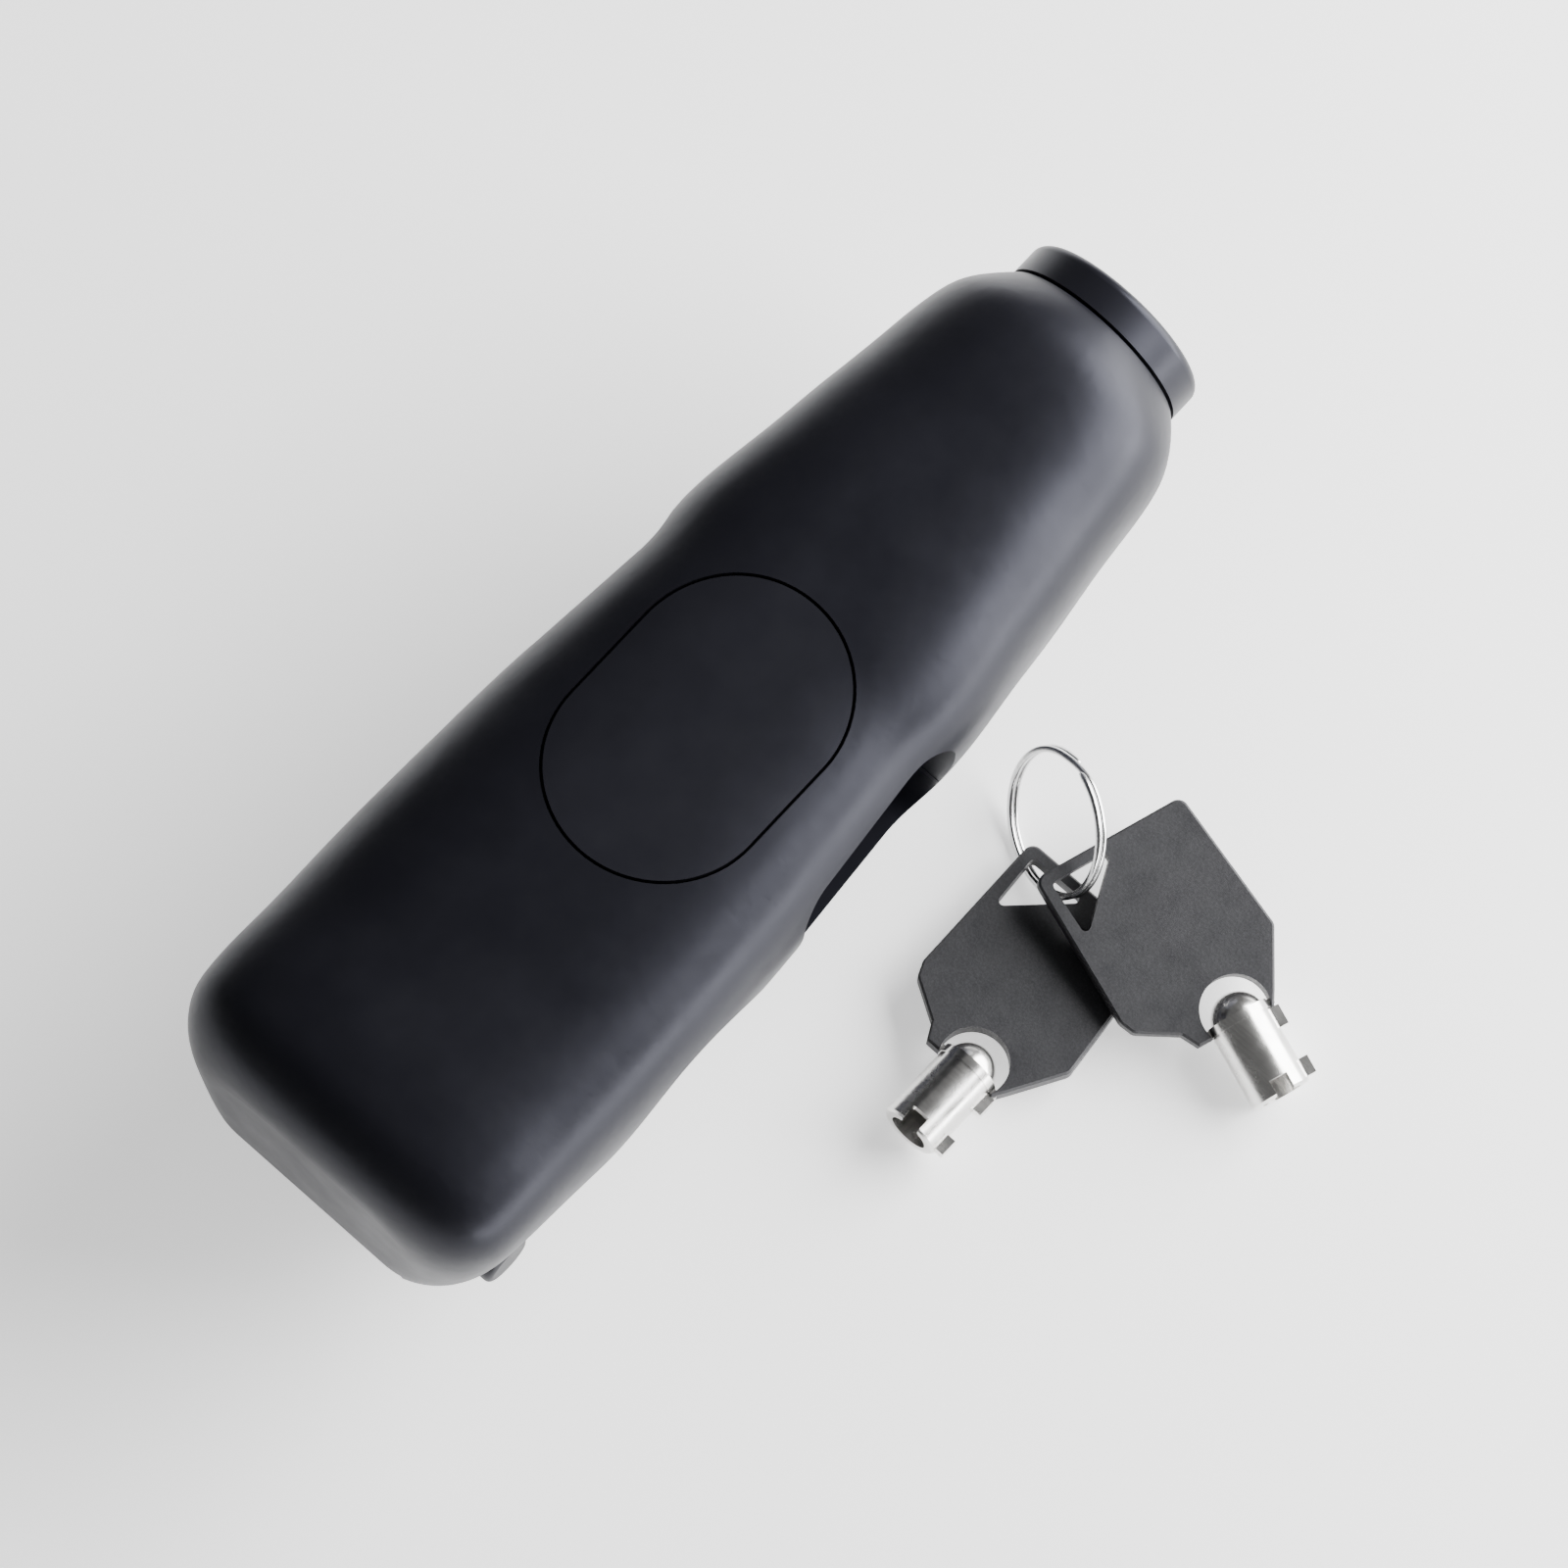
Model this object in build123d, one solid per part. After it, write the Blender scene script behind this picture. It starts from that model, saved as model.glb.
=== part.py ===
from build123d import *

import math
import os

# Handlebar grip and brake-lever lock, closed and unlocked, with its two keys on a ring.
# Frame: origin at the middle of the grip channel's axis, +X towards the lock cylinder,
# +Y across the lock, +Z up through the badge. The grip channel runs along Y. Millimetres.

# ------------------------------------------------------------------ driving dimensions
REAR_X = -43.0
NOSE_X = 106.4
TIP_X = 112.0
TOP_Z = 31.0
FLOOR_Z = -24.0
LOCK_Z = 13.0                 # height of the lock cylinder's axis
JAW_END_X = 80.0
PARTING = 0.2                 # half the gap between body and jaw

GRIP_R = 17.25                # inside the rubber pads: the handlebar grip's radius
PAD = 2.0
PAD_HALF = 19.0               # half length of the grip pads
LIP_R = 17.6                  # hole in the flanks, just clear of the grip
SLOT = (21.4, 52.8)           # lever slot, along X
SLOT_FLOOR = -7.5
SLOT_ROOF = 22.6
SLOT_CORNER = 5.5

PIN_X = -32.0                 # hinge pin, on the parting plane
PIN_R = 3.0
EAR_R = 12.3
KNUCKLE_R = 8.6
KNUCKLE_HALF = 15.0
EAR_GAP = 0.4
HEAD_R = 3.8
HEAD_Y = 24.3                 # how far the pin's head and its cap reach out

STRAP_HALF = 8.0
STRAP = 2.5
TONGUE = (62.0, 66.0)         # striker tongue, along X
TONGUE_TOP = 19.0
JAW_SCREW_X = (31.0, 51.0)
BOLT_R = 4.0
TAIL_R = 6.0
BOLT_TIP_X = 68.8
BOLT_TRAVEL = 8.0
FOLLOWER_X = 90.0
FOLLOWER_R = 1.3
DRUM_R = 3.7

BARREL_R = 9.5
COLLAR_R = 14.0
KEYWAY_R = 4.35
SHEAR_X = 102.6
TUMBLERS = 7
TUMBLER_PCR = 3.35
TUMBLER_R = 0.7

BADGE_X = 30.0
BADGE_SIZE = (44.0, 30.0)
BADGE_DEPTH = 3.0
BADGE_GROOVE = 0.45

KEY_R = 4.2
KEY_BORE_R = 2.8
KEY_LENGTH = 11.5
BOW = 2.6                     # thickness of a key's bow
CUTOUT_R = 4.8                # round opening of the bow at the barrel's root
RING_R = 9.8
WIRE = (0.9, 0.75)            # split ring's wire: across the ring, along its axis
RING_CENTRE = (62.6, -35.0, FLOOR_Z + 9.295)
RING_HEADING = 241.0          # direction of the ring's level diameter
RING_LEAN = 62.0
# each key: the point of its eye where the wire crosses, measured from the barrel's root,
# its place round the ring, where its barrel points and how far its barrel dips
KEY_PLACES = {
    "key_1": ((-8.4, 25.5), -42.98, -90.4, -2.2),
    "key_2": ((-10.2, 24.5), -4.1, -18.3, 7.25),
}


# ------------------------------------------------------------------ helpers
def ramp(x, start, stop, low, high):
    """Smooth change from low to high as x goes from start to stop."""
    t = min(max((x - start) / (stop - start), 0.0), 1.0)
    return low + (high - low) * t * t * (3.0 - 2.0 * t)


def block(x0, x1, y0, y1, z0, z1):
    """Box given by its limits along X, Y and Z."""
    middle = ((x0 + x1) / 2, (y0 + y1) / 2, (z0 + z1) / 2)
    return Pos(*middle) * Box(x1 - x0, y1 - y0, z1 - z0)


def rod_x(radius, x0, x1, y=0.0, z=LOCK_Z):
    """Cylinder along X."""
    return Pos((x0 + x1) / 2, y, z) * Rot(0, 90, 0) * Cylinder(radius, x1 - x0)


def rod_y(radius, y0, y1, x=0.0, z=0.0):
    """Cylinder along Y."""
    return Pos(x, (y0 + y1) / 2, z) * Rot(90, 0, 0) * Cylinder(radius, y1 - y0)


def rod_z(radius, z0, z1, x=0.0, y=0.0):
    """Cylinder along Z."""
    return Pos(x, y, (z0 + z1) / 2) * Cylinder(radius, z1 - z0)


def across(face, half):
    """Profile drawn in X and Z, given thickness to both sides along Y."""
    return Rot(90, 0, 0) * extrude(face, half, both=True)


# ------------------------------------------------------------------ outer form
REAR_ROUND = 10.0
REAR_HALF_WIDTH = 26.4
REAR_BOTTOM = -14.5
REAR_STEPS = (90.0, 80.0, 67.0, 52.0, 36.0, 18.0)
WIDTH_STATIONS = (
    (-33.0, 26.4), (-22.0, 26.6), (-11.0, 26.8), (0.0, 26.6), (11.0, 26.2),
    (21.0, 25.75), (31.0, 24.95), (41.0, 24.1), (46.5, 23.75), (50.0, 23.95), (53.5, 24.2),
    (60.0, 23.8), (68.0, 22.8), (77.0, 21.75), (87.0, 20.5), (96.4, 19.35),
)
NOSE_START = 96.4
NOSE_STEPS = (0.36, 0.66, 0.86, 1.0)


def outline(x, half_width, top, bottom):
    """Closed curve across X: a squared oval that is widest above its middle."""
    tail = ramp(x, 58.0, 96.0, 0.0, 1.0)
    tip = ramp(x, NOSE_START, NOSE_X, 0.0, 1.0)
    upper_power = 3.3 - 0.9 * tail - 0.4 * tip
    lower_power = 3.3 - 0.8 * tail - 0.5 * tip
    taper = 0.32 * (1.0 - tail) + 0.05 * tail * (1.0 - tip)
    centre = (top + bottom) / 2
    points = []
    for step in range(36):
        angle = math.radians(10.0 * step - 90.0)
        c, s = math.cos(angle), math.sin(angle)
        power = upper_power if s >= 0 else lower_power
        radius = (abs(c) ** power + abs(s) ** power) ** (-1.0 / power)
        rise = radius * s
        points.append((radius * c * (1.0 - taper * (1.0 - rise) / 2), rise))
    widest = max(y for y, _ in points)
    scale = half_width / widest
    half_height = (top - bottom) / 2
    return Wire([Spline(*[(x, y * scale, centre + z * half_height) for y, z in points], periodic=True)])


def outer_form():
    """The closed lock's outside, without the end cap."""
    wires = []
    for angle in REAR_STEPS:
        inset = REAR_ROUND * (1.0 - math.cos(math.radians(angle)))
        x = REAR_X + REAR_ROUND * (1.0 - math.sin(math.radians(angle)))
        wires.append(outline(x, REAR_HALF_WIDTH - inset, TOP_Z - inset, REAR_BOTTOM + inset))
    for x, half_width in WIDTH_STATIONS:
        bottom = ramp(x, -33.0, -12.0, REAR_BOTTOM, -25.0) + ramp(x, 60.0, 90.0, 0.0, 20.0)
        wires.append(outline(x, half_width, TOP_Z, bottom))
    base_width = WIDTH_STATIONS[-1][1]
    for step in NOSE_STEPS:
        x = NOSE_START + (NOSE_X - NOSE_START) * step
        drop = step ** 2.2
        half_width = base_width + (COLLAR_R - base_width) * (0.24 * step + 0.76 * drop)
        top = TOP_Z + (LOCK_Z + COLLAR_R - TOP_Z) * drop
        bottom = -5.0 + (LOCK_Z - COLLAR_R + 5.0) * drop
        wires.append(outline(x, half_width, top, bottom))
    form = Solid.make_loft(wires)
    return form - block(-60, 120, -40, 40, FLOOR_Z - 10, FLOOR_Z)


def slot_profile():
    """Lever slot seen along Y."""
    rear, front = SLOT
    shape = Polyline((rear, SLOT_FLOOR), (front, SLOT_FLOOR), (front, SLOT_ROOF),
                     (rear + 1.0, SLOT_ROOF - 1.2), close=True)
    face = make_face(shape)
    return fillet(face.vertices(), SLOT_CORNER)


def badge_outline(margin):
    """Racetrack outline, grown by margin."""
    length, width = BADGE_SIZE
    return Pos(BADGE_X, 0) * SlotOverall(length + 2 * margin, width + 2 * margin)


def badge_floor():
    """Everything below the badge's underside, which follows the crown of the top."""
    return block(-60, 120, -40, 40, -40, TOP_Z - BADGE_DEPTH)


# ------------------------------------------------------------------ steel inside the body
def upper_frame_shape():
    """Arch over the grip, spine over the lever slot, and two plates into the hinge ears."""
    arch = Circle(GRIP_R + PAD + STRAP) & Pos(0, 30) * Rectangle(80, 60 - 2 * PARTING)
    web = Pos(7, 22) * Rectangle(20, 10.6)
    spine = Pos(34.0, 25.7) * Rectangle(68, 3.2)
    drop = Pos(58.9, 16.0) * Rectangle(1.8, 22.6)
    hollow = Circle(GRIP_R + PAD)
    middle = across((web + spine + drop) - hollow, 9.0)
    sides = across(arch - hollow, PAD_HALF)
    eye = Pos(PIN_X, 0) * Circle(6.5)
    arm = Pos((PIN_X - 20) / 2, 3.3) * Rectangle(-20 - PIN_X, 6.2)
    plates = across((eye + arm) - hollow, 19.0) - block(-50, 0, -16, 16, -20, 20)
    frame = middle + sides + plates
    frame -= rod_y(KNUCKLE_R + EAR_GAP + 0.4, -KNUCKLE_HALF - 0.6, KNUCKLE_HALF + 0.6, x=PIN_X)
    frame -= rod_y(PIN_R, -30, 30, x=PIN_X)
    return frame - across(slot_profile(), 40)


def bolt_guide_shape():
    """Steel block with a front wall for the bolt's nose and a bore for its tail."""
    guide = block(68.2, 95.0, -10, 10, 3.5, 22.5)
    guide -= rod_x(BOLT_R + 0.08, 68, 71)
    guide -= rod_x(TAIL_R + 0.08, 70.2, 96)
    travel_end = FOLLOWER_X - BOLT_TRAVEL
    guide -= block(travel_end - 1.7, FOLLOWER_X + 1.7, -1.65, 1.65, LOCK_Z, LOCK_Z + 8.4)
    for side in (-1, 1):
        guide -= rod_z(1.6, 3.5, 8.0, x=74, y=side * 6.5)
    return guide


def guide_screws_shape():
    """Two screws from the parting face into the bolt guide."""
    screws = []
    for side in (-1, 1):
        y = side * 6.5
        screw = rod_z(3.2, 1.0, 3.5, x=74, y=y) + rod_z(1.6, 3.4, 7.8, x=74, y=y)
        screws.append(screw - extrude(Pos(74, y, 1.0) * RegularPolygon(1.5, 6), 1.4))
    return screws


# ------------------------------------------------------------------ lock cylinder
def tumbler_places():
    """Centres of the tumblers, as angles round the lock's axis."""
    return [360.0 / TUMBLERS * i for i in range(TUMBLERS)]


def tumbler(radius, x0, x1, angle):
    """One small cylinder of the ring of tumblers."""
    y = TUMBLER_PCR * math.sin(math.radians(angle))
    z = LOCK_Z + TUMBLER_PCR * math.cos(math.radians(angle))
    return rod_x(radius, x0, x1, y, z)


def lock_barrel_shape():
    """Housing tube, with the round keyway and its index notch in the front."""
    barrel = rod_x(BARREL_R, 95.2, 111.0)
    barrel -= rod_x(7.1, 95, 105.9)
    barrel -= rod_x(KEYWAY_R, 105, 112)
    barrel -= block(109.4, 112, -0.9, 0.9, LOCK_Z, LOCK_Z + KEYWAY_R + 1.5)
    barrel -= rod_z(1.8, 3.0, 5.4, x=99.0)
    front = barrel.edges().filter_by(GeomType.CIRCLE).filter_by(lambda e: abs(e.radius - BARREL_R) < 0.01)
    return chamfer(front.sort_by(Axis.X)[-1], 0.4)


def pin_block_shape():
    """Fixed core behind the shear plane."""
    core = rod_x(7.1, 95.2, SHEAR_X) - rod_x(1.86, 95, SHEAR_X + 1)
    for angle in tumbler_places():
        core -= tumbler(TUMBLER_R + 0.05, 96.5, SHEAR_X + 1, angle)
    return core


def lock_spindle_shape():
    """Flange that carries the key pins, centre post for the key and shaft for the drum."""
    flange = rod_x(7.04, SHEAR_X + 0.1, 105.8)
    for angle in tumbler_places():
        flange -= tumbler(TUMBLER_R + 0.05, SHEAR_X, 106, angle)
    post = rod_x(2.5, 105.7, 110.4)
    post = chamfer(post.edges().sort_by(Axis.X)[-1], 0.35)
    lug = block(105.7, 108.6, -0.6, 0.6, LOCK_Z - 3.0, LOCK_Z - 2.0)
    shaft = rod_x(1.8, 92.3, SHEAR_X + 0.2)
    return flange + post + lug + shaft - rod_z(0.6, 0, 30, x=93.7)


def cam_drum_shape():
    """Drum with a helical groove: a quarter turn moves the bolt by its full travel."""
    drum = rod_x(DRUM_R, 80.4, 95.1)
    groove = []
    steps = 16
    for i in range(-1, steps + 2):
        turn = math.radians(90.0 * i / steps)
        cutter = Pos(FOLLOWER_X - BOLT_TRAVEL * i / steps, 0, LOCK_Z) * Rot(math.degrees(turn), 0, 0)
        groove.append(cutter * Pos(0, 0, 3.8) * Cylinder(FOLLOWER_R + 0.3, 4.0))
    for cut in groove:
        drum -= cut
    drum -= rod_x(1.8, 92.3, 96)
    return drum - rod_z(0.6, 0, 30, x=93.7)


def locking_bolt_shape():
    """Nose that enters the striker and hollow tail that runs over the drum."""
    nose = rod_x(BOLT_R, BOLT_TIP_X, 79.0)
    nose = chamfer(nose.edges().sort_by(Axis.X)[0], 0.8)
    tail = rod_x(TAIL_R, 78.7, 93.0)
    bolt = nose + tail - rod_x(DRUM_R + 0.35, 80.0, 94.0)
    return bolt - rod_z(FOLLOWER_R, LOCK_Z, LOCK_Z + 10, x=FOLLOWER_X)


# ------------------------------------------------------------------ jaw
def jaw_strap_shape():
    """Strap from the pin eye, under grip and lever, up to the striker tongue."""
    hollow = Circle(GRIP_R + PAD)
    below = Pos(0, -30 - PARTING) * Rectangle(200, 60)
    band = Circle(GRIP_R + PAD + STRAP) & below & Pos(-20, 0) * Rectangle(80, 80)
    bar = Pos(40.0, -12.25) * Rectangle(52.0, 3.5)
    arm = Pos((PIN_X - 18) / 2, -3.7) * Rectangle(-18 - PIN_X, 7.0)
    tongue = Pos(sum(TONGUE) / 2, TONGUE_TOP - 16.5) * Rectangle(TONGUE[1] - TONGUE[0], 33.0)
    eye = Pos(PIN_X, 0) * Circle(7.0)
    strap = across((band + bar + arm + tongue + eye) - hollow, STRAP_HALF) - across(slot_profile(), 40)
    strap -= rod_y(4.0, -20, 20, x=PIN_X)
    strap -= rod_x(BOLT_R + 0.5, 60, 68)
    for x in JAW_SCREW_X:
        strap -= rod_z(1.6, -15, -10, x=x)
    shoulders = strap.edges().filter_by(Axis.X).group_by(Axis.Z)[-1]
    return fillet(shoulders, 3.0)



def jaw_screws_shape():
    """Two screws from below into the strap."""
    screws = []
    for x in JAW_SCREW_X:
        screw = rod_z(3.2, -22.0, -19.0, x=x) + rod_z(1.6, -19.1, -10.6, x=x)
        screws.append(screw - extrude(Pos(x, 0, -22) * RegularPolygon(1.5, 6), 1.5))
    return screws


def screw_plugs_shape():
    """Rubber plugs over the heads of the jaw screws."""
    return [rod_z(3.4, FLOOR_Z + 0.4, -22.1, x=x) for x in JAW_SCREW_X]


def half_sleeve(outer, inner, half, above):
    """Half of a tube along Y, over or under the parting plane."""
    sleeve = rod_y(outer, -half, half) - rod_y(inner, -half - 1, half + 1)
    if above:
        return sleeve & block(-40, 40, -40, 40, PARTING, 60)
    return sleeve & block(-40, 40, -40, 40, -60, -PARTING)


# ------------------------------------------------------------------ body and jaw shells
def build_lock():
    """All pieces of the lock itself, by node name."""
    form = outer_form()
    slot = across(slot_profile(), 40)
    lower = block(-60, JAW_END_X, -40, 40, -40, PARTING)
    channel = rod_y(LIP_R, -40, 40) + rod_y(GRIP_R + PAD, -PAD_HALF, PAD_HALF)

    nodes = {}
    nodes["upper_frame"] = upper_frame_shape()
    nodes["upper_grip_pad"] = half_sleeve(GRIP_R + PAD, GRIP_R, PAD_HALF, True)
    nodes["jaw_grip_pad"] = half_sleeve(GRIP_R + PAD, GRIP_R, PAD_HALF, False)
    nodes["upper_lever_pad"] = block(SLOT[0] + 7, SLOT[1] - 6, -16, 16, SLOT_ROOF - 2.2, SLOT_ROOF + 0.6)
    nodes["jaw_lever_pad"] = block(SLOT[0] + 7, SLOT[1] - 6, -15, 15, SLOT_FLOOR - 2.0, SLOT_FLOOR + 0.5)
    nodes["bolt_guide"] = bolt_guide_shape()
    nodes["guide_screws"] = guide_screws_shape()
    nodes["lock_barrel"] = lock_barrel_shape()
    nodes["pin_block"] = pin_block_shape()
    nodes["driver_pins"] = [tumbler(TUMBLER_R, 100.5, 102.5, a) for a in tumbler_places()]
    springs = []
    for angle in tumbler_places():
        springs.append(tumbler(TUMBLER_R, 96.6, 100.4, angle) - tumbler(0.45, 96, 101, angle))
    nodes["tumbler_springs"] = springs
    nodes["key_pins"] = [tumbler(TUMBLER_R, 102.8, 105.4, a) for a in tumbler_places()]
    nodes["lock_spindle"] = lock_spindle_shape()
    nodes["cam_drum"] = cam_drum_shape()
    nodes["drum_pin"] = rod_z(0.6, LOCK_Z - 3.5, LOCK_Z + 3.5, x=93.7)
    nodes["locking_bolt"] = locking_bolt_shape()
    nodes["follower_pin"] = rod_z(FOLLOWER_R, LOCK_Z + 2.1, LOCK_Z + 7.6, x=FOLLOWER_X)
    nodes["barrel_set_screw"] = rod_z(1.8, 0.2, 5.3, x=99.0) - rod_z(0.9, 0, 1.8, x=99.0)

    nodes["cap_seal"] = rod_x(12.6, NOSE_X, NOSE_X + 0.5) - rod_x(BARREL_R, NOSE_X - 1, NOSE_X + 2)
    cap = rod_x(COLLAR_R, NOSE_X + 0.5, TIP_X)
    rims = cap.edges().filter_by(GeomType.CIRCLE).sort_by(Axis.X)
    cap = fillet(rims[-1], 1.3)
    cap -= rod_x(BARREL_R, NOSE_X, 111.0)
    nodes["end_cap"] = cap - rod_x(7.6, 110, 113)

    pin = rod_y(PIN_R, 1.0 - HEAD_Y, 21.6, x=PIN_X) + rod_y(HEAD_R, -HEAD_Y, 2.4 - HEAD_Y, x=PIN_X)
    nodes["hinge_pin"] = fillet(pin.edges().sort_by(Axis.Y)[0], 0.9)
    pin_cap = rod_y(HEAD_R, 21.7, HEAD_Y, x=PIN_X)
    nodes["pin_cap"] = fillet(pin_cap.edges().sort_by(Axis.Y)[-1], 0.9)
    bushes = []
    for side in (-1, 1):
        bush = rod_y(4.0, -4.8, 4.8, x=PIN_X) - rod_y(PIN_R + 0.05, -5, 5, x=PIN_X)
        bushes.append(Pos(0, side * 10.0, 0) * bush)
    nodes["hinge_bushes"] = bushes

    nodes["jaw_strap"] = jaw_strap_shape()
    nodes["jaw_screws"] = jaw_screws_shape()
    nodes["screw_plugs"] = screw_plugs_shape()

    badge = extrude(badge_outline(0), 60) & form
    nodes["badge_insert"] = badge - badge_floor()

    # body: everything above the parting plane, the nose, and the ears beside the knuckle
    upper = form - lower
    ears = form & rod_y(EAR_R, -40, 40, x=PIN_X) & lower
    ears -= block(-60, 0, -KNUCKLE_HALF - EAR_GAP, KNUCKLE_HALF + EAR_GAP, -40, 10)
    upper += ears
    pocket_half = KNUCKLE_HALF + EAR_GAP
    upper -= rod_y(KNUCKLE_R + EAR_GAP, -pocket_half, pocket_half, x=PIN_X)
    upper = upper - channel - slot
    upper -= rod_y(HEAD_R, -40, 2.4 - HEAD_Y, x=PIN_X)
    upper -= rod_y(HEAD_R, 21.7, 40, x=PIN_X)
    upper -= block(60.4, 68.2, -8.8, 8.8, -1, 20.6)
    upper -= rod_x(BARREL_R, 95.0, 112)
    upper -= extrude(badge_outline(BADGE_GROOVE), 60) - badge_floor()
    for name in ("upper_frame", "upper_lever_pad", "hinge_pin"):
        upper -= nodes[name]
    upper -= block(68.2, 95.2, -10, 10, 3.5, 22.5)
    for side in (-1, 1):
        upper -= rod_z(3.2, -1, 3.6, x=74, y=side * 6.5)
    upper -= rod_z(1.8, -6, 4.0, x=99.0)
    nodes["upper_shell"] = upper

    # jaw: everything under the parting plane, with the knuckle between the ears
    jaw = form & block(PIN_X, JAW_END_X - 2 * PARTING, -40, 40, -40, -PARTING)
    jaw -= rod_y(EAR_R + EAR_GAP, -40, -KNUCKLE_HALF, x=PIN_X)
    jaw -= rod_y(EAR_R + EAR_GAP, KNUCKLE_HALF, 40, x=PIN_X)
    jaw += rod_y(KNUCKLE_R, -KNUCKLE_HALF, KNUCKLE_HALF, x=PIN_X)
    jaw = jaw - channel - slot
    jaw -= rod_y(PIN_R + 0.05, -40, 40, x=PIN_X)
    jaw -= rod_y(4.0, -14.8, 14.8, x=PIN_X)
    solid_strap = nodes["jaw_strap"] + rod_y(4.0, -8, 8, x=PIN_X)
    jaw = jaw - solid_strap - nodes["jaw_lever_pad"]
    for x in JAW_SCREW_X:
        jaw -= rod_z(3.4, -30, -19.0, x=x) + rod_z(1.6, -20, -10, x=x)
    nodes["jaw_shell"] = jaw
    return nodes


# ------------------------------------------------------------------ keys
def key_bow_shape():
    """Bow in its own frame: barrel axis along -Y from the origin, middle of the bow at Z 0."""
    edge = Polyline((-6.5, -0.8), (-7.8, 1.6), (-13.2, 4.8), (-14.1, 6.9), (-14.6, 28.8),
                    (7.8, 29.1), (10.2, 8.6), (5.9, 1.0), (4.8, -0.8), close=True)
    face = make_face(edge)
    corners = [v for v in face.vertices() if v.Y > 4.0]
    face = fillet(corners, 1.5)
    bow = extrude(face, BOW / 2, both=True)
    rims = bow.faces().filter_by(Axis.Z)
    bow = chamfer([rim_edge for rim in rims for rim_edge in rim.edges()], 0.3)
    eye = make_face(Polyline((-13.0, 27.2), (-3.6, 27.4), (-12.4, 18.6), close=True))
    bow -= extrude(fillet(eye.vertices(), 0.7), BOW, both=True)
    return bow - rod_z(CUTOUT_R, -BOW, BOW, y=1.1)


def key_barrel_shape():
    """Tube with a domed root, an open end, an index lug, a second lug and a notch."""
    tube = rod_y(KEY_R, -KEY_LENGTH, 0)
    tube = chamfer(tube.edges().sort_by(Axis.Y)[0], 0.3)
    dome = Sphere(KEY_R - 0.5) & block(-5, 5, -1, 5, -5, 5)
    collar = rod_y(KEY_R + 0.15, -0.6, 0.6)
    rivets = block(-6.6, 5.2, -0.45, 0.45, -0.5, 0.5)
    bore = rod_y(KEY_BORE_R, -KEY_LENGTH - 1, -3.2)
    lugs = block(KEY_R - 0.8, KEY_R + 1.2, -3.6, -0.8, -0.9, 0.9)
    lugs += block(KEY_R - 0.8, KEY_R + 1.2, -10.9, -8.4, -0.9, 0.9)
    notch = block(-1.3, 1.3, -KEY_LENGTH - 1, -KEY_LENGTH + 2.2, 0, KEY_R + 1)
    return tube + dome + collar + rivets + lugs - bore - notch


def ring_plane():
    """Plane of the leaning ring: X along its level diameter, Y up the lean."""
    heading, lean = math.radians(RING_HEADING), math.radians(RING_LEAN)
    level = Vector(math.cos(heading), math.sin(heading), 0)
    uphill = Vector(-level.Y * math.cos(lean), level.X * math.cos(lean), math.sin(lean))
    return Plane(origin=RING_CENTRE, x_dir=level, z_dir=level.cross(uphill))


def key_ring_shape():
    """Two turns of flat wire side by side, leaning up from the table."""
    offset = WIRE[1] / 2 - 0.02
    turns = Pos(RING_R, -offset) * RectangleRounded(*WIRE, 0.3)
    turns += Pos(RING_R, offset) * RectangleRounded(*WIRE, 0.3)
    return ring_plane() * revolve(Rot(90, 0, 0) * turns, Axis.Z)


def place_key(shape, eye, ring_angle, heading, pitch):
    """Key threaded on the ring's wire at ring_angle, its barrel pointing to heading."""
    angle = math.radians(ring_angle)
    crossing = ring_plane() * Pos(RING_R * math.cos(angle), RING_R * math.sin(angle), 0)
    threaded = Pos(-eye[0], -eye[1], 0) * shape
    return Pos(crossing.position) * Rot(0, 0, heading) * Rot(pitch, 0, 0) * threaded


def build_keys():
    """Ring and two keys beside the lock, by node name."""
    bow = key_bow_shape()
    barrel = key_barrel_shape()
    nodes = {"key_ring": key_ring_shape()}
    for name, place in KEY_PLACES.items():
        nodes[name + "_bow"] = place_key(bow - barrel, *place)
        nodes[name + "_barrel"] = place_key(barrel, *place)
    return nodes


# ------------------------------------------------------------------ export
def main():
    os.makedirs("parts", exist_ok=True)
    nodes = build_lock()
    nodes.update(build_keys())
    for name, shape in nodes.items():
        if isinstance(shape, list):
            shape = Compound(children=shape)
        export_step(shape, "parts/" + name + ".step")


main()
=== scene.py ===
import math

import bmesh
import bpy
from mathutils import Matrix, Vector


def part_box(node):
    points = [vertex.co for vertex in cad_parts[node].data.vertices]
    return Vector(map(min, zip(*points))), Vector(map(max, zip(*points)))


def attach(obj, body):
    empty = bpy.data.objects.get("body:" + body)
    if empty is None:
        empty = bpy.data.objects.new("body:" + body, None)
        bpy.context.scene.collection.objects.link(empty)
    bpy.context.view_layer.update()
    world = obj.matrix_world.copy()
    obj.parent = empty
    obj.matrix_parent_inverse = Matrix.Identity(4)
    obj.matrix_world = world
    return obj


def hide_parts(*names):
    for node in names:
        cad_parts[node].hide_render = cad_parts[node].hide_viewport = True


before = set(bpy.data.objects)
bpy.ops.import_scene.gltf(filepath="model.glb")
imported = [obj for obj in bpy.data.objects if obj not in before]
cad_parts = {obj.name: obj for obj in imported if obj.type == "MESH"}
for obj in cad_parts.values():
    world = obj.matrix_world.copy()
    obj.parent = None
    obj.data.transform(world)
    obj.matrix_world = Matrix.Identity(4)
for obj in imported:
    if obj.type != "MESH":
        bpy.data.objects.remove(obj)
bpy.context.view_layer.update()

# ------------------------------------------------------------------ sizes, in metres
FLOOR_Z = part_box("jaw_shell")[0].z

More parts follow.
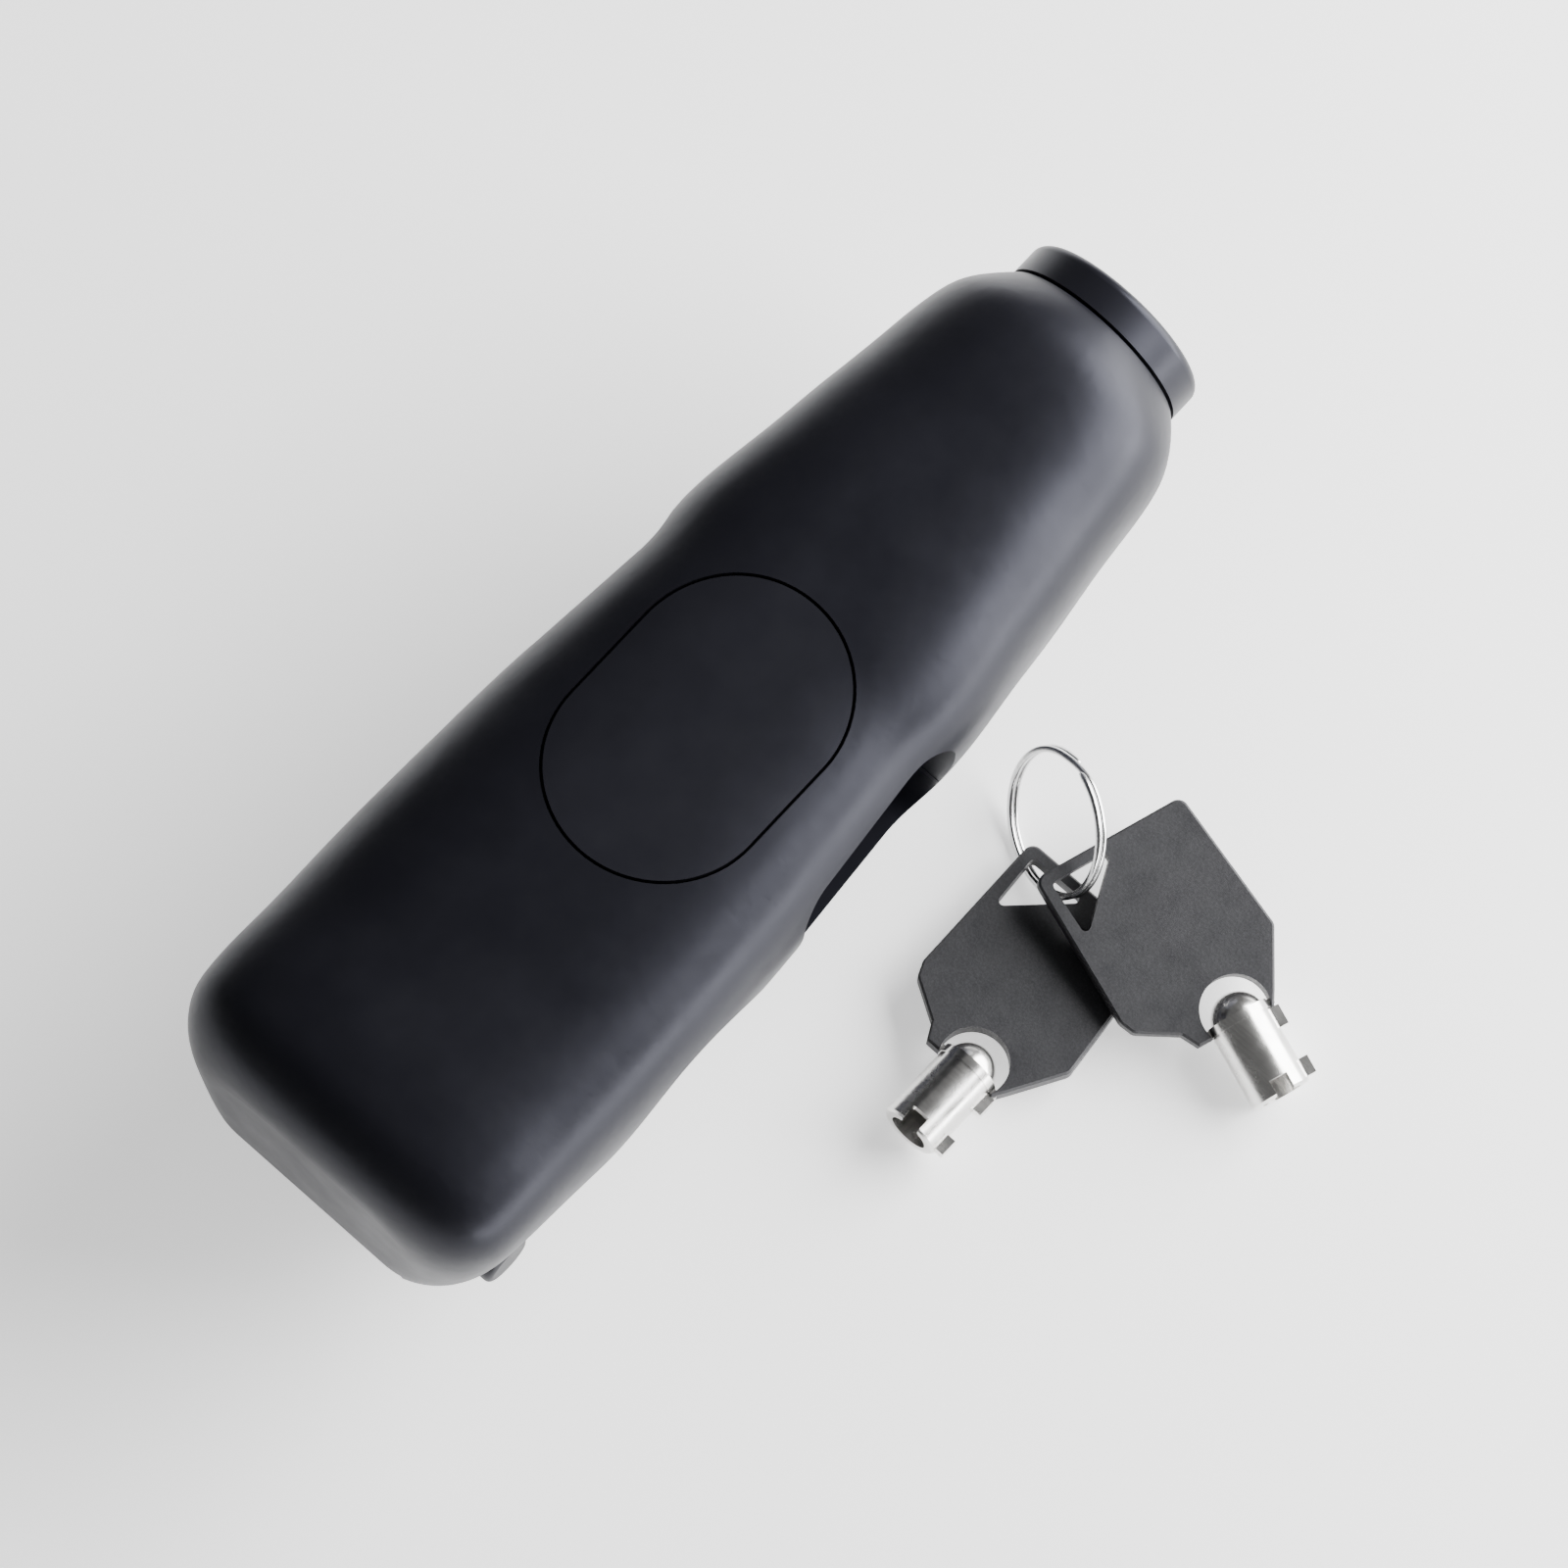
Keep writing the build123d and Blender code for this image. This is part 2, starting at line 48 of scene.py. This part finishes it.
# the leaning split ring: it lies where the CAD node does
RING_CENTRE = Vector((0.0626, -0.0350, FLOOR_Z + 0.009295))
RING_HEADING = math.radians(241.0)
RING_LEAN = math.radians(62.0)
RING_RADIUS = 0.0098
WIRE_ACROSS = 0.0009
WIRE_ALONG = 0.00070
WIRE_PITCH = 0.00073
WIRE_CORNER = 0.00026
WIRE_END_SCALE = 0.72
WIRE_END_STEPS = 2
RING_SEGMENTS = 288
RING_START = math.radians(118.0)
RING_SWEEP = math.radians(711.0)
RING_TURNS = 2.0
STEP_FROM = 0.94
STEP_LENGTH = 0.12

# the camera: how far it leans towards the fat end and towards the near flank, its turn in the
# picture, its distance, the width it sees there, and how far the lock's origin is off the centre
CAMERA_TILT = math.radians(13.0)
CAMERA_ROLL = math.radians(9.75)
CAMERA_TURN = math.radians(46.7)
CAMERA_DISTANCE = 1.5
CAMERA_FIELD = 0.2018
CAMERA_RIGHT = 0.03183
CAMERA_UP = 0.02265
SENSOR_WIDTH = 36.0

# the stage and the lights
FLOOR_SIZE = 6.0
FLOOR_GAP = 0.00005
LIGHT_AIM = Vector((0.035, -0.02, 0.0))
SURROUND = 0.14

# the turn of the noise that marks each key's barrel, and the colour of the barrels
KEY_1_SPIN = math.radians(90.4)
KEY_2_SPIN = math.radians(18.3)
KEY_NICKEL = (0.80, 0.79, 0.77)


# ------------------------------------------------------------------ material building blocks
def new_material(name, colour, roughness, metallic=0.0):
    """Material with a Principled shader; returns it with its node tree and shader."""
    material = bpy.data.materials.new(name)
    material.use_nodes = True
    tree = material.node_tree
    shader = tree.nodes["Principled BSDF"]
    shader.inputs["Base Color"].default_value = (*colour, 1.0)
    shader.inputs["Roughness"].default_value = roughness
    shader.inputs["Metallic"].default_value = metallic
    material.diffuse_color = (*colour, 1.0)
    return material, tree, shader


def add_node(tree, kind, **values):
    """New node with some of its inputs set."""
    node = tree.nodes.new(kind)
    for key, value in values.items():
        node.inputs[key].default_value = value
    return node


def object_position(tree, stretch=(1.0, 1.0, 1.0), turn=(0.0, 0.0, 0.0)):
    """Object coordinates, scaled and then turned."""
    coordinates = tree.nodes.new("ShaderNodeTexCoord")
    mapping = tree.nodes.new("ShaderNodeMapping")
    mapping.inputs["Rotation"].default_value = turn
    mapping.inputs["Scale"].default_value = stretch
    tree.links.new(coordinates.outputs["Object"], mapping.inputs["Vector"])
    return mapping.outputs["Vector"]


def noise(tree, position, scale, detail=4.0, roughness=0.55):
    """Noise texture read at a position."""
    node = add_node(tree, "ShaderNodeTexNoise", Scale=scale, Detail=detail, Roughness=roughness)
    tree.links.new(position, node.inputs["Vector"])
    return node.outputs["Fac"]


def remap(tree, value, low, high, start=0.3, stop=0.7):
    """Value rescaled so that start..stop becomes low..high."""
    node = tree.nodes.new("ShaderNodeMapRange")
    node.inputs["From Min"].default_value = start
    node.inputs["From Max"].default_value = stop
    node.inputs["To Min"].default_value = low
    node.inputs["To Max"].default_value = high
    tree.links.new(value, node.inputs["Value"])
    return node.outputs["Result"]


def colour_between(tree, value, dark, light, start=0.35, stop=0.65):
    """Colour that runs from dark to light with the value."""
    ramp = tree.nodes.new("ShaderNodeValToRGB")
    ramp.color_ramp.elements[0].position = start
    ramp.color_ramp.elements[0].color = (*dark, 1.0)
    ramp.color_ramp.elements[1].position = stop
    ramp.color_ramp.elements[1].color = (*light, 1.0)
    tree.links.new(value, ramp.inputs["Fac"])
    return ramp.outputs["Color"]


def bump(tree, shader, height, strength, distance):
    """Bump from the height on the shader's normal."""
    node = add_node(tree, "ShaderNodeBump", Strength=strength, Distance=distance)
    tree.links.new(height, node.inputs["Height"])
    tree.links.new(node.outputs["Normal"], shader.inputs["Normal"])


# ------------------------------------------------------------------ materials
def satin_plastic(name, dark, light, roughness):
    """Moulded nylon: cloudy near-black with a fine even grain and faint handling marks."""
    material, tree, shader = new_material(name, dark, roughness)
    position = object_position(tree)
    clouds = noise(tree, position, 45.0)
    tree.links.new(colour_between(tree, clouds, dark, light), shader.inputs["Base Color"])
    patches = noise(tree, position, 120.0, detail=6.0)
    tree.links.new(remap(tree, patches, roughness - 0.035, roughness + 0.045),
                   shader.inputs["Roughness"])
    grain = noise(tree, position, 2600.0, detail=2.0)
    bump(tree, shader, grain, 0.10, 0.00002)
    shader.inputs["IOR"].default_value = 1.33
    shader.inputs["Specular Tint"].default_value = (0.82, 0.84, 1.0, 1.0)
    return material


def speckled_plastic(name):
    """Key bow: near-black with a fine speckle in its textured surface."""
    dark, light = (0.007, 0.007, 0.009), (0.020, 0.020, 0.0235)
    material, tree, shader = new_material(name, dark, 0.5)
    position = object_position(tree)
    speckle = noise(tree, position, 3200.0, detail=3.0, roughness=0.8)
    tree.links.new(colour_between(tree, speckle, dark, light, 0.38, 0.72),
                   shader.inputs["Base Color"])
    patches = noise(tree, position, 260.0)
    tree.links.new(remap(tree, patches, 0.44, 0.58), shader.inputs["Roughness"])
    bump(tree, shader, noise(tree, position, 1900.0, detail=4.0), 0.35, 0.00006)
    return material


def plated(name, colour, roughness, spin, streak=0.35):
    """Plated metal with fine marks drawn out along Y; spin only turns the noise behind them."""
    material, tree, shader = new_material(name, colour, roughness, metallic=1.0)
    position = object_position(tree, (1.0, 0.06, 1.0), (0.0, 0.0, spin))
    marks = noise(tree, position, 2200.0, detail=3.0)
    dark = tuple(0.86 * channel for channel in colour)
    tree.links.new(colour_between(tree, marks, dark, colour), shader.inputs["Base Color"])
    patches = noise(tree, object_position(tree), 300.0)
    tree.links.new(remap(tree, patches, roughness - 0.04, roughness + 0.06),
                   shader.inputs["Roughness"])
    bump(tree, shader, marks, streak, 0.00001)
    return material


def machined(name, colour, roughness):
    """Plain machined or plated metal inside the lock."""
    material, tree, shader = new_material(name, colour, roughness, metallic=1.0)
    position = object_position(tree)
    dull = tuple(0.7 * channel for channel in colour)
    stain = noise(tree, position, 150.0, detail=6.0)
    tree.links.new(colour_between(tree, stain, dull, colour), shader.inputs["Base Color"])
    tree.links.new(remap(tree, stain, roughness, roughness + 0.15), shader.inputs["Roughness"])
    bump(tree, shader, noise(tree, position, 1500.0), 0.15, 0.00003)
    return material


def black_rubber(name):
    """Matt rubber with a dusty bloom."""
    dark, light = (0.010, 0.010, 0.010), (0.024, 0.024, 0.024)
    material, tree, shader = new_material(name, dark, 0.8)
    position = object_position(tree)
    bloom = noise(tree, position, 220.0, detail=6.0)
    tree.links.new(colour_between(tree, bloom, dark, light), shader.inputs["Base Color"])
    tree.links.new(remap(tree, bloom, 0.70, 0.90), shader.inputs["Roughness"])
    bump(tree, shader, noise(tree, position, 900.0), 0.3, 0.00008)
    return material


def floor_material():
    """Plain white table that glows a little, so that it stays pale."""
    material, tree, shader = new_material("floor_white", (0.92, 0.92, 0.92), 0.9)
    clouds = noise(tree, object_position(tree), 3.0)
    tree.links.new(colour_between(tree, clouds, (0.91, 0.91, 0.91), (0.93, 0.93, 0.93)),
                   shader.inputs["Base Color"])
    shader.inputs["Emission Color"].default_value = (1.0, 1.0, 1.0, 1.0)
    shader.inputs["Emission Strength"].default_value = 0.8
    return material


def give(material, *names):
    """Puts the material on CAD nodes."""
    for name in names:
        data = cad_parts[name].data
        data.materials.clear()
        data.materials.append(material)


def dress_frame():
    """A material for every CAD node."""
    give(satin_plastic("body_nylon", (0.0045, 0.0045, 0.0066), (0.0070, 0.0070, 0.0096), 0.39),
         "upper_shell", "jaw_shell")
    give(satin_plastic("cap_nylon", (0.0065, 0.0065, 0.009), (0.009, 0.009, 0.012), 0.34),
         "end_cap")
    give(satin_plastic("badge_nylon", (0.007, 0.007, 0.0095), (0.0095, 0.0095, 0.0125), 0.38),
         "badge_insert")
    give(machined("plated_steel", (0.50, 0.50, 0.52), 0.32),
         "upper_frame", "jaw_strap", "bolt_guide", "locking_bolt", "follower_pin", "drum_pin",
         "guide_screws", "jaw_screws", "barrel_set_screw")
    give(machined("black_oxide", (0.05, 0.05, 0.055), 0.38),
         "hinge_pin", "pin_cap")
    give(machined("turned_brass", (0.66, 0.48, 0.22), 0.25),
         "pin_block", "key_pins", "driver_pins", "hinge_bushes", "cam_drum")
    give(plated("satin_nickel", (0.62, 0.61, 0.60), 0.26, math.radians(90.0)),
         "lock_barrel", "lock_spindle", "tumbler_springs")
    give(black_rubber("black_rubber"),
         "upper_grip_pad", "jaw_grip_pad", "upper_lever_pad", "jaw_lever_pad", "cap_seal",
         "screw_plugs")
    give(speckled_plastic("bow_plastic"), "key_1_bow", "key_2_bow")
    give(plated("nickel_key_1", KEY_NICKEL, 0.24, KEY_1_SPIN), "key_1_barrel")
    give(plated("nickel_key_2", KEY_NICKEL, 0.24, KEY_2_SPIN), "key_2_barrel")


# ------------------------------------------------------------------ split ring
def rounded_profile(width, height, radius, steps=3):
    """Rounded rectangle, as points in order."""
    points = []
    for corner in range(4):
        cx = (width / 2 - radius) * (1 if corner in (0, 3) else -1)
        cy = (height / 2 - radius) * (1 if corner in (0, 1) else -1)
        for step in range(steps + 1):
            angle = math.radians(90.0 * corner + 90.0 * step / steps)
            points.append((cx + radius * math.cos(angle), cy + radius * math.sin(angle)))
    return points


def split_ring():
    """Flat wire wound in two touching turns, with a step where one turn passes to the other."""
    level = Vector((math.cos(RING_HEADING), math.sin(RING_HEADING), 0.0))
    uphill = Vector((-level.y * math.cos(RING_LEAN), level.x * math.cos(RING_LEAN),
                     math.sin(RING_LEAN)))
    axis = level.cross(uphill)
    profile = rounded_profile(WIRE_ACROSS, WIRE_ALONG, WIRE_CORNER)
    mesh = bmesh.new()
    sections = []
    for i in range(RING_SEGMENTS + 1):
        turns = RING_TURNS * i / RING_SEGMENTS
        step = min(max((turns - STEP_FROM) / STEP_LENGTH, 0.0), 1.0)
        offset = WIRE_PITCH * (step * step * (3.0 - 2.0 * step) - 0.5)
        angle = RING_START + RING_SWEEP * turns / RING_TURNS
        outward = level * math.cos(angle) + uphill * math.sin(angle)
        centre = RING_CENTRE + outward * RING_RADIUS + axis * offset
        from_end = min(i, RING_SEGMENTS - i)
        scale = min(1.0, WIRE_END_SCALE + (1.0 - WIRE_END_SCALE) * from_end / WIRE_END_STEPS)
        sections.append([mesh.verts.new(centre + outward * x * scale + axis * y * scale)
                         for x, y in profile])
    for first, second in zip(sections, sections[1:]):
        for j in range(len(profile)):
            k = (j + 1) % len(profile)
            mesh.faces.new((first[j], first[k], second[k], second[j]))
    mesh.faces.new(list(reversed(sections[0])))
    mesh.faces.new(sections[-1])
    bmesh.ops.recalc_face_normals(mesh, faces=mesh.faces)
    data = bpy.data.meshes.new("split_ring")
    mesh.to_mesh(data)
    mesh.free()
    for polygon in data.polygons:
        polygon.use_smooth = True
    ring = bpy.data.objects.new("split_ring", data)
    bpy.context.scene.collection.objects.link(ring)
    data.materials.append(plated("ring_wire", (0.66, 0.66, 0.66), 0.20, 0.0, streak=0.2))
    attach(ring, "ring")
    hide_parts("key_ring")


# ------------------------------------------------------------------ stage, lights and camera
def stage():
    """White table."""
    bpy.ops.mesh.primitive_plane_add(size=FLOOR_SIZE, location=(0.0, 0.0, FLOOR_Z - FLOOR_GAP))
    floor = bpy.context.object
    floor.name = "floor"
    floor.data.materials.append(floor_material())


def softbox(name, azimuth, elevation, distance, width, height, power):
    """Area light aimed at the lock; its azimuth is 0 from the near flank and 90 from the cap."""
    a, e = math.radians(azimuth), math.radians(elevation)
    back = Vector((math.sin(a) * math.cos(e), -math.cos(a) * math.cos(e), math.sin(e)))
    data = bpy.data.lights.new(name, "AREA")
    data.shape = "RECTANGLE"
    data.size = width
    data.size_y = height
    data.energy = power
    lamp = bpy.data.objects.new(name, data)
    lamp.rotation_euler = back.to_track_quat("Z", "Y").to_euler()
    lamp.location = LIGHT_AIM + back * distance
    bpy.context.scene.collection.objects.link(lamp)


def light():
    """Soft light from the cap's side, a low strip along the near flank and a dim surround."""
    softbox("key_soft", 58.0, 25.0, 0.7, 0.8, 0.7, 30.0)
    softbox("low_soft", 0.0, 5.0, 0.6, 1.0, 0.12, 6.0)
    world = bpy.data.worlds.new("studio")
    bpy.context.scene.world = world
    world.use_nodes = True
    background = world.node_tree.nodes["Background"]
    background.inputs["Color"].default_value = (1.0, 1.0, 1.0, 1.0)
    background.inputs["Strength"].default_value = SURROUND


def camera():
    """Long lens above the lock, leaning towards the fat end and the near flank."""
    back = Vector((-math.sin(CAMERA_TILT), -math.cos(CAMERA_TILT) * math.sin(CAMERA_ROLL),
                   math.cos(CAMERA_TILT) * math.cos(CAMERA_ROLL)))
    along = (Vector((1.0, 0.0, 0.0)) - back * back.x).normalized()
    side = back.cross(along)
    right = along * math.cos(CAMERA_TURN) - side * math.sin(CAMERA_TURN)
    up = along * math.sin(CAMERA_TURN) + side * math.cos(CAMERA_TURN)
    data = bpy.data.cameras.new("camera")
    data.sensor_width = SENSOR_WIDTH
    data.lens = SENSOR_WIDTH * CAMERA_DISTANCE / CAMERA_FIELD
    data.clip_end = 20.0
    eye = bpy.data.objects.new("camera", data)
    centre = right * CAMERA_RIGHT + up * CAMERA_UP
    turn = Matrix((right, up, back)).transposed().to_4x4()
    eye.matrix_world = Matrix.Translation(centre + back * CAMERA_DISTANCE) @ turn
    bpy.context.scene.collection.objects.link(eye)
    bpy.context.scene.camera = eye


dress_frame()
split_ring()
stage()
light()
camera()
